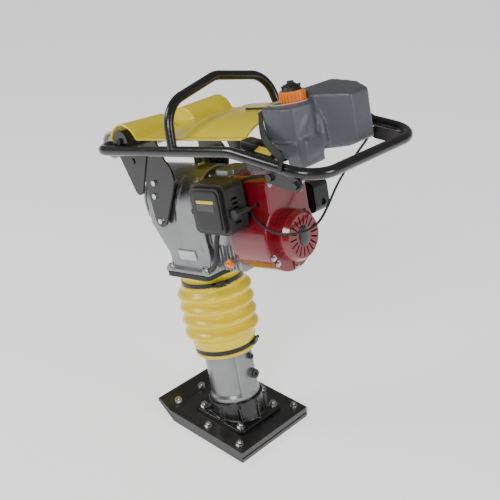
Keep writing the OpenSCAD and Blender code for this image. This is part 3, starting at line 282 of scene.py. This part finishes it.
def make_soil_group():
    """Colour and roughness with dust on upward faces, blotches everywhere and small scuffs."""
    g = bpy.data.node_groups.new("SoilAndScuffs", "ShaderNodeTree")
    add_socket(g, "Vector", "NodeSocketVector", "INPUT")
    add_socket(g, "Base", "NodeSocketColor", "INPUT", (0.5, 0.5, 0.5, 1))
    add_socket(g, "Dust", "NodeSocketColor", "INPUT", (0.35, 0.32, 0.27, 1))
    add_socket(g, "Bare", "NodeSocketColor", "INPUT", (0.5, 0.5, 0.5, 1))
    add_socket(g, "Dust Amount", "NodeSocketFloat", "INPUT", 0.15)
    add_socket(g, "Variation", "NodeSocketFloat", "INPUT", 0.15)
    add_socket(g, "Scuffs", "NodeSocketFloat", "INPUT", 0.05)
    add_socket(g, "Roughness", "NodeSocketFloat", "INPUT", 0.4)
    add_socket(g, "Color", "NodeSocketColor", "OUTPUT")
    add_socket(g, "Rough", "NodeSocketFloat", "OUTPUT")
    n, link = g.nodes, g.links.new
    gi, go = n.new("NodeGroupInput"), n.new("NodeGroupOutput")

    def noise(scale, detail, rough=0.6):
        t = n.new("ShaderNodeTexNoise")
        t.inputs["Scale"].default_value = scale
        t.inputs["Detail"].default_value = detail
        t.inputs["Roughness"].default_value = rough
        link(gi.outputs["Vector"], t.inputs["Vector"])
        return t.outputs["Fac"]

    def ramp(src, lo, hi):
        m = n.new("ShaderNodeMapRange")
        m.inputs["From Min"].default_value = lo
        m.inputs["From Max"].default_value = hi
        link(src, m.inputs["Value"])
        return m.outputs["Result"]

    def math2(op, a, b):
        m = n.new("ShaderNodeMath")
        m.operation = op
        for sock, x in zip(m.inputs, (a, b)):
            if isinstance(x, (int, float)):
                sock.default_value = x
            else:
                link(x, sock)
        return m.outputs[0]

    def mix(fac, a, b, blend="MIX"):
        m = n.new("ShaderNodeMix")
        m.data_type = "RGBA"
        m.blend_type = blend
        link(fac, m.inputs["Factor"])
        for sock, x in ((m.inputs["A"], a), (m.inputs["B"], b)):
            if isinstance(x, tuple):
                sock.default_value = x
            else:
                link(x, sock)
        return m.outputs["Result"]

    blotch = ramp(noise(14.0, 4.0), 0.35, 0.68)
    shade = math2("MULTIPLY", blotch, gi.outputs["Variation"])
    color = mix(shade, gi.outputs["Base"], (0.05, 0.05, 0.05, 1))
    scuff = ramp(noise(95.0, 6.0, 0.75), 0.66, 0.72)
    scuff = math2("MULTIPLY", scuff, ramp(noise(9.0, 2.0), 0.5, 0.62))
    scuff = math2("MULTIPLY", scuff, gi.outputs["Scuffs"])
    color = mix(scuff, color, gi.outputs["Bare"])
    normal = n.new("ShaderNodeNewGeometry")
    split = n.new("ShaderNodeSeparateXYZ")
    link(normal.outputs["Normal"], split.inputs[0])
    up = ramp(split.outputs["Z"], 0.2, 0.95)
    lying = math2("ADD", math2("MULTIPLY", up, 0.8), 0.2)
    dust = math2("MULTIPLY", lying, ramp(noise(40.0, 5.0, 0.7), 0.3, 0.7))
    dust = math2("MULTIPLY", dust, gi.outputs["Dust Amount"])
    color = mix(dust, color, gi.outputs["Dust"])
    rough = math2("ADD", gi.outputs["Roughness"], math2("MULTIPLY", dust, 0.5))
    rough = math2("ADD", rough, math2("MULTIPLY", math2("SUBTRACT", blotch, 0.5), 0.08))
    link(color, go.inputs["Color"])
    link(rough, go.inputs["Rough"])
    return g


def make_finish(name, base, rough, metallic=0.0, coat=0.0, grain=500.0, bump=0.1, waves=0.3, dust=0.12,
                variation=0.12, scuffs=0.0, bare=(0.45, 0.45, 0.45), clear=0.0, seam=None):
    """One finish: grain drives the bump, soil the colour and roughness; seam is a line's height in metres."""
    mat = bpy.data.materials.new(name)
    mat.use_nodes = True
    n, link = mat.node_tree.nodes, mat.node_tree.links.new
    bsdf = n["Principled BSDF"]
    coords = n.new("ShaderNodeTexCoord")
    grp = n.new("ShaderNodeGroup")
    grp.node_tree = bpy.data.node_groups["SurfaceGrain"]
    grp.inputs["Scale"].default_value = grain
    grp.inputs["Waves"].default_value = waves
    soil = n.new("ShaderNodeGroup")
    soil.node_tree = bpy.data.node_groups["SoilAndScuffs"]
    for key, value in (("Base", (*base, 1)), ("Bare", (*bare, 1)), ("Dust Amount", dust),
                       ("Variation", variation), ("Scuffs", scuffs), ("Roughness", rough)):
        soil.inputs[key].default_value = value
    bump_node = n.new("ShaderNodeBump")
    bump_node.inputs["Strength"].default_value = bump
    bump_node.inputs["Distance"].default_value = 0.001
    link(coords.outputs["Object"], grp.inputs["Vector"])
    link(coords.outputs["Object"], soil.inputs["Vector"])
    height = grp.outputs["Height"]
    if seam is not None:
        turn = n.new("ShaderNodeMapping")
        turn.inputs["Rotation"].default_value = (0, -LEAN, 0)
        split = n.new("ShaderNodeSeparateXYZ")
        away = n.new("ShaderNodeMath")
        away.operation = "SUBTRACT"
        away.inputs[1].default_value = seam
        size = n.new("ShaderNodeMath")
        size.operation = "ABSOLUTE"
        line = n.new("ShaderNodeMapRange")
        line.inputs["From Min"].default_value = SEAM_HALF
        line.inputs["From Max"].default_value = 0.0
        line.inputs["To Max"].default_value = SEAM_HEIGHT
        both = n.new("ShaderNodeMath")
        link(coords.outputs["Object"], turn.inputs["Vector"])
        link(turn.outputs["Vector"], split.inputs[0])
        link(split.outputs["Z"], away.inputs[0])
        link(away.outputs[0], size.inputs[0])
        link(size.outputs[0], line.inputs["Value"])
        link(line.outputs["Result"], both.inputs[0])
        link(height, both.inputs[1])
        height = both.outputs[0]
    link(height, bump_node.inputs["Height"])
    link(soil.outputs["Color"], bsdf.inputs["Base Color"])
    link(soil.outputs["Rough"], bsdf.inputs["Roughness"])
    link(bump_node.outputs["Normal"], bsdf.inputs["Normal"])
    bsdf.inputs["Metallic"].default_value = metallic
    bsdf.inputs["Coat Weight"].default_value = coat
    bsdf.inputs["Coat Roughness"].default_value = 0.12
    if clear:
        bsdf.inputs["Alpha"].default_value = clear
    FINISH[name] = mat


FINISH_TABLE = {
    "black_steel": dict(base=(0.005, 0.005, 0.006), rough=0.24, coat=0.2,
                        grain=260, bump=0.03, dust=0.02, scuffs=0.12),
    "shoe_steel": dict(base=(0.008, 0.008, 0.009), rough=0.30, coat=0.25,
                       grain=300, bump=0.08, dust=0.06, scuffs=0.4),
    "board_black": dict(base=(0.007, 0.007, 0.008), rough=0.30, coat=0.25,
                        grain=220, bump=0.12, dust=0.06, scuffs=0.3),
    "silver_paint": dict(base=(0.27, 0.275, 0.28), rough=0.30, metallic=0.92,
                         grain=520, bump=0.14, dust=0.05),
    "silver_leg": dict(base=(0.27, 0.275, 0.28), rough=0.33, metallic=0.9,
                       grain=480, bump=0.14, dust=0.08),
    "zinc": dict(base=(0.62, 0.62, 0.60), rough=0.26, metallic=1.0, grain=700, bump=0.05, dust=0.08),
    "steel": dict(base=(0.45, 0.45, 0.46), rough=0.32, metallic=1.0, grain=600, bump=0.05, dust=0.03),
    "bronze": dict(base=(0.55, 0.40, 0.18), rough=0.35, metallic=1.0, grain=600, bump=0.05, dust=0.0),
    "bush_plastic": dict(base=(0.75, 0.72, 0.62), rough=0.5, grain=500, bump=0.05, dust=0.0),
    "yellow_cover": dict(base=(0.86, 0.68, 0.015), rough=0.36, coat=0.2,
                         grain=420, bump=0.05, dust=0.05, variation=0.05),
    "red_plastic": dict(base=(0.45, 0.02, 0.02), rough=0.4, grain=400, bump=0.05),
    "black_plastic": dict(base=(0.008, 0.008, 0.009), rough=0.42, grain=650, bump=0.18, dust=0.04),
    "orange_plastic": dict(base=(0.92, 0.24, 0.01), rough=0.38, grain=450, bump=0.06, dust=0.04),
    "clear_plastic": dict(base=(0.72, 0.74, 0.76), rough=0.25, grain=300, bump=0.04, clear=0.7),
    "roller_plastic": dict(base=(0.42, 0.43, 0.43), rough=0.45,
                           grain=350, bump=0.10, dust=0.10, scuffs=0.2),
    "rubber": dict(base=(0.008, 0.008, 0.008), rough=0.55, grain=500, bump=0.12, dust=0.05),
    "cast_alu": dict(base=(0.33, 0.335, 0.34), rough=0.40, metallic=0.9, grain=420, bump=0.25, dust=0.10),
    "dark_steel": dict(base=(0.022, 0.024, 0.026), rough=0.42, metallic=0.4,
                       grain=420, bump=0.10, dust=0.06),
    "friction": dict(base=(0.18, 0.12, 0.08), rough=0.8, grain=300, bump=0.3),
    "foam": dict(base=(0.18, 0.13, 0.07), rough=0.9, grain=220, bump=0.6),
    "label_yellow": dict(base=(0.70, 0.52, 0.04), rough=0.4, grain=500, bump=0.03, dust=0.05),
    "plate_bright": dict(base=(0.52, 0.53, 0.53), rough=0.36, metallic=0.9,
                         grain=600, bump=0.06, dust=0.06),
    "badge_dark": dict(base=(0.012, 0.013, 0.018), rough=0.25, coat=0.4, grain=500, bump=0.03, dust=0.02),
}


class RammerColours(bpy.types.PropertyGroup):
    """Paint and plastic colours."""

    bellows: bpy.props.FloatVectorProperty(
        name="Bellows", description="Colour of the rubber bellows", subtype="COLOR",
        size=3, default=(0.86, 0.63, 0.0), min=0, max=1)
    shroud: bpy.props.FloatVectorProperty(
        name="Shroud", description="Colour of the fan shroud", subtype="COLOR",
        size=3, default=(0.19, 0.002, 0.010), min=0, max=1)
    tank: bpy.props.FloatVectorProperty(
        name="Tank", description="Colour of the fuel tank", subtype="COLOR",
        size=3, default=(0.075, 0.081, 0.098), min=0, max=1)


class RammerSizes(bpy.types.PropertyGroup):
    """Sizes of the moulded pieces."""

    cover_wall: bpy.props.FloatProperty(
        name="Cover wall", description="Thickness of the top cover", unit="LENGTH",
        default=0.0045, min=0.001, max=0.006)
    tank_voxel: bpy.props.FloatProperty(
        name="Tank detail", description="Grid of the blown tank's skin", unit="LENGTH",
        default=0.0034, min=0.002, max=0.01)
    casting_voxel: bpy.props.FloatProperty(
        name="Casting detail", description="Grid of the crankcase's skin", unit="LENGTH",
        default=0.0028, min=0.002, max=0.01)
    shroud_voxel: bpy.props.FloatProperty(
        name="Shroud detail", description="Grid of the shroud's skin", unit="LENGTH",
        default=0.0018, min=0.0015, max=0.01)
    foot_voxel: bpy.props.FloatProperty(
        name="Foot detail", description="Grid of the foot casting's skin", unit="LENGTH",
        default=0.0024, min=0.0015, max=0.01)
    hose_radius: bpy.props.FloatProperty(
        name="Breather hose radius", description="Outer radius of the breather hose", unit="LENGTH",
        default=0.007, min=0.003, max=0.012)


def colours():
    """The scene's colours."""
    return bpy.context.scene.rammer_colours


def sizes():
    """The scene's sizes."""
    return bpy.context.scene.rammer_sizes


SWELL_SIDES = 16
WELD_GAP = 0.0001  # a node's corners nearer than this are one, m


def moulded_skin(node, name, body, finish, voxel, rounds, swells=()):
    """Stands for a node: its mesh and round swells along paths, made one skin on a grid and eased, so that
    its edges and inner corners are as round as a casting's."""
    source = frame["nodes"][node].data
    verts = np.empty(len(source.vertices) * 3)
    source.vertices.foreach_get("co", verts)
    verts = [verts.reshape(-1, 3)]
    faces = [list(p.vertices) for p in source.polygons]
    for path, radius in swells:
        rings = leg_to_row(tube_points(spline(path), radius, SWELL_SIDES))
        base = sum(len(v) for v in verts)
        end = base + (len(rings) - 1) * SWELL_SIDES
        faces += [[base + i for i in q[::-1]] for q in grid_faces(len(rings), SWELL_SIDES, wrap_cols=True)]
        faces += [list(range(base, base + SWELL_SIDES)), list(range(end, end + SWELL_SIDES))[::-1]]
        verts.append(rings.reshape(-1, 3))
    obj = finish_mesh(name, np.vstack(verts), faces, body, finish)
    weld = obj.modifiers.new("Weld", "WELD")
    weld.merge_threshold = WELD_GAP
    remesh = obj.modifiers.new("Skin", "REMESH")
    remesh.mode = "VOXEL"
    remesh.voxel_size = voxel
    remesh.use_smooth_shade = True
    ease = obj.modifiers.new("Ease", "SMOOTH")
    ease.factor = 0.6
    ease.iterations = rounds
    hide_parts(node)


class RAMMER_OT_finishes(bpy.types.Operator):
    """Builds the finishes and puts them on the model's own parts"""

    bl_idname = "rammer.finishes"
    bl_label = "Finishes"

    def execute(self, context):
        make_grain_group()
        make_soil_group()
        for name, spec in FINISH_TABLE.items():
            make_finish(name, **spec)
        make_finish("yellow_bellows", tuple(colours().bellows), 0.34, coat=0.25, grain=320, bump=0.06,
                    waves=1.2, dust=0.04, variation=0.05)
        make_finish("red_paint", tuple(colours().shroud), 0.20, coat=0.6, grain=260, bump=0.04, dust=0.04,
                    variation=0.06)
        make_finish("tank_plastic", tuple(colours().tank), 0.40, grain=380, bump=0.10, waves=0.8,
                    dust=0.05, variation=0.06, seam=TANK_SEAM)
        for part in frame["record"]["subparts"]:
            obj = frame["nodes"][part["node"]]
            obj.data.materials.clear()
            obj.data.materials.append(FINISH[part["material_slot"]])
        return {"FINISHED"}


# ------------------------------------------------------------ pieces

# The cover in the leg frame, mm: its side edge's height, half width and back edge, then the round
# tunnels over the mounts, by their axis and radius, and the height of the deck between them.
COVER_EDGE = 884.0
COVER_HALF = 177.0
COVER_BACK = -391.0
LOBE_U, LOBE_W, LOBE_R = 32.0, 882.0, 55.0
DECK_W = 901.0
CREASE_U = -176.0
CREASE_HALF = 7.0


def smooth_max(a, b, k):
    """The greater of two heights, blended over about k where they meet."""
    return 0.5 * (a + b + np.sqrt((a - b) ** 2 + k * k)) - 0.25 * k


def smooth_step(x, lo, hi):
    """0 below lo, 1 above hi, and a smooth cubic between."""
    t = np.clip((x - lo) / (hi - lo), 0, 1)
    return t * t * (3 - 2 * t)


def cover_height(u, v):
    """Height of the cover: two short tunnels over the mounts, a low deck, and a long hump that starts
    at a curved crease; the greatest of the three with soft joints."""
    a = np.abs(v)
    side = np.clip(a / COVER_HALF, 0, 1)
    hump = COVER_EDGE - 4 + 53 * (1 - side ** 2.6) ** 0.6
    crease = CREASE_U - 14 * smooth_step(a, 120, 178) - 34 * np.exp(-(a / 46) ** 2)
    rise = smooth_step(-u, -crease - CREASE_HALF, -crease + CREASE_HALF)
    deck = DECK_W + 12 * np.exp(-(a / 60) ** 2) * smooth_step(-u, 40, 190) - 3 * smooth_step(u, 30, 90)
    low = np.where(a > 20, LOBE_W - 2, 0)
    reach = np.sqrt(np.clip(LOBE_R ** 2 - (u - LOBE_U) ** 2, 0, None))
    lobe = LOBE_W + reach + 0.035 * (a - 100)
    lobe = low + (lobe - low) * smooth_step(a, 24, 36)
    base = deck + (np.maximum(hump, deck) - deck) * rise
    return smooth_max(base, lobe, 5.0)


class RAMMER_OT_cover(bpy.types.Operator):
    """Moulded top cover with its slot trim"""

    bl_idname = "rammer.cover"
    bl_label = "Top Cover"

    def execute(self, context):
        # Finer where the crease and the tunnels' inner ends turn.
        u = np.concatenate([
            np.linspace(COVER_BACK, -235, 40), np.linspace(-232, -150, 56), np.linspace(-146, -28, 40),
            LOBE_U - LOBE_R * np.cos(np.linspace(0.06, math.pi - 0.02, 48))])
        v = COVER_HALF * np.concatenate([
            -np.linspace(1, 0.24, 46), np.linspace(-0.23, 0.23, 41), np.linspace(0.24, 1, 46)])
        uu, vv = np.meshgrid(u, v, indexing="ij")
        ww = cover_height(uu, vv)
        pts = leg_to_row(np.stack([uu, vv, ww], -1))
        obj = finish_mesh("cover_shell", pts.reshape(-1, 3), grid_faces(*uu.shape), "handle",
                          "yellow_cover")
        wall = obj.modifiers.new("Wall", "SOLIDIFY")
        wall.thickness = sizes().cover_wall
        wall.offset = -1 if obj.data.polygons[0].normal.z > 0 else 1
        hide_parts("top_cover")
        path = spline([(-268, 20, 934.5), (-300, 20, 934.5), (-335, 20, 934.5)], 6)
        tube("cover_slot", path, 2.6, "handle", "black_plastic", 10)
        return {"FINISHED"}


class RAMMER_OT_tank(bpy.types.Operator):
    """Blown fuel tank with its parting line, strap and label bracket"""

    bl_idname = "rammer.tank"
    bl_label = "Fuel Tank"

    def execute(self, context):
        moulded_skin("tank", "tank_skin", "handle", "tank_plastic", sizes().tank_voxel, 12,
                     [([(-502, 58, 940), (-504, 84, 912), (-495, 106, 882)], 6),
                      ([(-496, 98, 942), (-490, 112, 914), (-476, 126, 886)], 6),
                      ([(-470, 20, 948), (-490, 24, 900), (-496, 26, 850)], 16)])
        band = spline([(-412, 122, 948), (-420, 135, 918), (-440, 152, 893), (-475, 170, 875),
                       (-508, 186, 863), (-522, 199, 856), (-526, 210, 850), (-526, 215, 838)], 6)
        strap("tank_strap", band, (0.35, 0.6, 0.7), 17, 3.2, "handle", "rubber")
        slope = ("v", -13.2)
        outward = ("u", -24)
        rounded_block("label_bracket", (-440, 164, 868), (44, 17, 3), "handle",
                      "black_steel", 0.16, (outward, slope))
        rounded_block("blank_label", (-440, 166.2, 871.6), (29, 9, 0.8), "handle",
                      "label_yellow", 0.1, (outward, slope))
        rounded_block("rear_gusset", (-404, 158, 882), (22, 20, 12), "handle",
                      "black_plastic", 0.3, (slope,))
        return {"FINISHED"}


SAME_POINT = 0.00001  # m
SHARP_ANGLE = math.radians(35)


def joined_skin(node, name, start, end):
    """Stands for a node: a copy of its mesh with doubled points merged, sharp edges marked and smooth shading, put
    in the node's place; start and end, both leg points, are not used.
    """
    mesh = frame["nodes"][node].data.copy()
    obj = bpy.data.objects.new(name, mesh)
    bpy.context.scene.collection.objects.link(obj)
    work = bmesh.new()
    work.from_mesh(mesh)
    bmesh.ops.remove_doubles(work, verts=work.verts, dist=SAME_POINT)
    work.to_mesh(mesh)
    work.free()
    mesh.set_sharp_from_angle(angle=SHARP_ANGLE)
    mesh.polygons.foreach_set("use_smooth", [True] * len(mesh.polygons))
    tuple(leg_to_row(start))
    tuple(leg_to_row(end))
    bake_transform(obj)
    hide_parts(node)


class RAMMER_OT_flexing(bpy.types.Operator):
    """Bellows, fuel hose and throttle cable, each a smoothed copy of its node's mesh"""

    bl_idname = "rammer.flexing"
    bl_label = "Bellows, Hose and Cable"

    def execute(self, context):
        joined_skin("bellows", "bellows_skin", (0, 0, 268), (0, 0, 450))
        joined_skin("fuel_hose", "fuel_hose_skin", (-240, 70, 760), (-440, 88, 790))
        joined_skin("throttle_cable", "throttle_cable_skin",
                    (-392, -80, 650), (-470, -178, 800))
        return {"FINISHED"}


class RAMMER_OT_castings(bpy.types.Operator):
    """Crankcase, shroud and foot with a casting's round edges"""

    bl_idname = "rammer.castings"
    bl_label = "Castings"

    def execute(self, context):
        w = np.linspace(768, 570, 9)
        ribs = []
        for side in (1, -1):
            for u0, u1 in ((-40, 8), (-86, -80)):
                ribs.append((np.stack([np.linspace(u0, u1, 9), side * (case_side(w) - 0.5), w], -1), 4.5))
        moulded_skin("crankcase", "crankcase_skin", "upper", "silver_paint", sizes().casting_voxel, 5, ribs)
        moulded_skin("fan_shroud", "shroud_skin", "upper", "red_paint", sizes().shroud_voxel, 9)
        moulded_skin("foot_casting", "foot_skin", "foot", "black_steel", sizes().foot_voxel, 4)
        return {"FINISHED"}


SCREW_U, SCREW_RING = -329, 86  # the shroud's face, and the radius its screws lie on, mm
AIR_BOX_U, AIR_BOX_V = -214, 163.8  # middle of the air cleaner's outer face, mm


class RAMMER_OT_engine_trim(bpy.types.Operator):
    """Badge, screws and panels of the engine"""

    bl_idname = "rammer.engine_trim"
    bl_label = "Engine Trim"

    def execute(self, context):
        axis_w = row_to_leg(np.array(JOINTS["engine_spin"]["pos_m"]))[2]
        rounded_block("starter_badge", (-371.5, 0, axis_w), (3, 17, 26), "upper",
                      "badge_dark", 0.8)
        head = [(0.01, -1), (5.6, -1), (5.6, 0.5), (9, 0.5), (9, 1.5), (5.2, 1.5), (5.2, 6), (4.4, 6.8),
                (0.01, 6.8)]
        ring = [(SCREW_U, SCREW_RING * math.cos(a), axis_w + SCREW_RING * math.sin(a))
                for a in np.radians([-25, 205, 270, 320])]
        corners = [(SCREW_U, -70, axis_w + 120), (SCREW_U, 48, axis_w + 146)]
        turned_parts("shroud_screws", ring + corners, head, "-u", "upper", "zinc", 6)
        rounded_block("air_box_strip", (AIR_BOX_U, AIR_BOX_V, 738), (30, 1.0, 4), "upper",
                      "label_yellow", 0.15)
        rounded_block("air_box_plate", (AIR_BOX_U, AIR_BOX_V, 724), (30, 0.9, 9), "upper",
                      "badge_dark", 0.15)
        rounded_block("air_box_panel", (AIR_BOX_U, 160.5, 714), (44, 3.5, 52), "upper",
                      "black_plastic", 0.28)
        tube("breather_hose", spline([(-176, 97, 654), (-164, 97, 630), (-152, 96, 600), (-143, 95, 565),
                                      (-128, 93, 540), (-108, 88, 524), (-92, 80, 516), (-80, 76, 513)]),
             sizes().hose_radius * 1000, "upper", "rubber", 16)
        return {"FINISHED"}


CRANK_W, CASE_R = 694, 92.0  # height of the crank's axis and radius of the case round it, mm


def case_side(w):
    """Half width of the crankcase at a height: flanks below the crank's axis, a circle above it."""
    w = np.asarray(w, float)
    flank = np.interp(w, [545, 640, CRANK_W], [76, 91, CASE_R])
    return np.where(w < CRANK_W, flank, np.sqrt(np.clip(CASE_R ** 2 - (w - CRANK_W) ** 2, 1, None)))


class RAMMER_OT_case_trim(bpy.types.Operator):
    """The blank plate on the crankcase"""

    bl_idname = "rammer.case_trim"
    bl_label = "Crankcase Trim"

    def execute(self, context):
        flank = ("u", -9)
        rounded_block("case_plate_rim", (-6, 77.2, 549), (37, 1.6, 17), "upper",
                      "silver_paint", 0.1, (flank,))
        rounded_block("case_plate", (-6, 78.0, 549), (33, 1.6, 14), "upper",
                      "plate_bright", 0.1, (flank,))
        return {"FINISHED"}


FLOOR_HALF, FLOOR_Z = 60.0, -0.0004
LIGHTS = {  # place, size in m, watts
    "key": ((-1.2, 2.8, 2.8), 1.2, 62),
    "fill": ((-3.0, -0.6, 2.0), 1.0, 34),
    "rim": ((2.0, 1.6, 2.6), 1.0, 36),
}
LIGHT_TARGET = (0, 0, 0.55)
WORLD_STRENGTH = 0.22
CAMERA_PLACE = (-1.4139, 1.5229, 1.6238)
CAMERA_YAW, CAMERA_PITCH = math.radians(47.86), math.radians(27.01)
CAMERA_LENS, CAMERA_SENSOR = 62.44, 36


class RAMMER_OT_stage(bpy.types.Operator):
    """Pale floor, soft lights and the camera"""

    bl_idname = "rammer.stage"
    bl_label = "Stage"

    def execute(self, context):
        mesh = bpy.data.meshes.new("floor")
        signs = ((-1, -1), (1, -1), (1, 1), (-1, 1))
        mesh.from_pydata([(FLOOR_HALF * x, FLOOR_HALF * y, FLOOR_Z) for x, y in signs], [], [(0, 1, 2, 3)])
        floor = bpy.data.objects.new("floor", mesh)
        context.scene.collection.objects.link(floor)
        mat = bpy.data.materials.new("floor_pale")
        mat.use_nodes = True
        pale = mat.node_tree.nodes["Principled BSDF"].inputs
        pale["Base Color"].default_value = (0.86, 0.86, 0.86, 1)
        pale["Roughness"].default_value = 0.7
        pale["Emission Color"].default_value = (1, 1, 1, 1)
        pale["Emission Strength"].default_value = 0.9
        mesh.materials.append(mat)
        world = bpy.data.worlds.new("studio")
        context.scene.world = world
        world.use_nodes = True
        sky = world.node_tree.nodes["Background"].inputs
        sky["Color"].default_value = (1, 1, 1, 1)
        sky["Strength"].default_value = WORLD_STRENGTH
        for name, (place, size, power) in LIGHTS.items():
            light = bpy.data.lights.new(name, "AREA")
            light.size = size
            light.energy = power
            lamp = bpy.data.objects.new(name, light)
            lamp.location = place
            lamp.rotation_euler = (Vector(LIGHT_TARGET) - Vector(place)).to_track_quat("-Z", "Y").to_euler()
            context.scene.collection.objects.link(lamp)
        cam = bpy.data.cameras.new("camera")
        cam.lens = CAMERA_LENS
        cam.sensor_width = CAMERA_SENSOR
        eye = bpy.data.objects.new("camera", cam)
        eye.location = CAMERA_PLACE
        level = math.cos(CAMERA_PITCH)
        look = Vector((math.cos(CAMERA_YAW) * level, -math.sin(CAMERA_YAW) * level, -math.sin(CAMERA_PITCH)))
        eye.rotation_euler = look.to_track_quat("-Z", "Y").to_euler()
        context.scene.collection.objects.link(eye)
        context.scene.camera = eye
        return {"FINISHED"}


class RAMMER_PT_panel(bpy.types.Panel):
    """Lists the rammer's pieces"""

    bl_idname = "RAMMER_PT_panel"
    bl_label = "Rammer"
    bl_space_type = "VIEW_3D"
    bl_region_type = "UI"
    bl_category = "Rammer"

    def draw(self, context):
        for group in (context.scene.rammer_colours, context.scene.rammer_sizes):
            for key in group.__annotations__:
                self.layout.prop(group, key)
        for op in OPERATORS:
            self.layout.operator(op.bl_idname)


OPERATORS = (
    RAMMER_OT_finishes, RAMMER_OT_cover, RAMMER_OT_tank, RAMMER_OT_flexing, RAMMER_OT_castings,
    RAMMER_OT_engine_trim, RAMMER_OT_case_trim, RAMMER_OT_stage,
)
CLASSES = (RammerColours, RammerSizes, *OPERATORS, RAMMER_PT_panel)


def register():
    """Registers the classes and puts the colours and sizes on the scene."""
    for cls in CLASSES:
        bpy.utils.register_class(cls)
    bpy.types.Scene.rammer_colours = bpy.props.PointerProperty(type=RammerColours)
    bpy.types.Scene.rammer_sizes = bpy.props.PointerProperty(type=RammerSizes)


def unregister():
    """Undoes register."""
    del bpy.types.Scene.rammer_sizes
    del bpy.types.Scene.rammer_colours
    for cls in reversed(CLASSES):
        bpy.utils.unregister_class(cls)


def main():
    """Runs every operator in order."""
    register()
    for op in OPERATORS:
        getattr(bpy.ops.rammer, op.bl_idname.split(".")[1])()


if __name__ == "__main__":
    main()
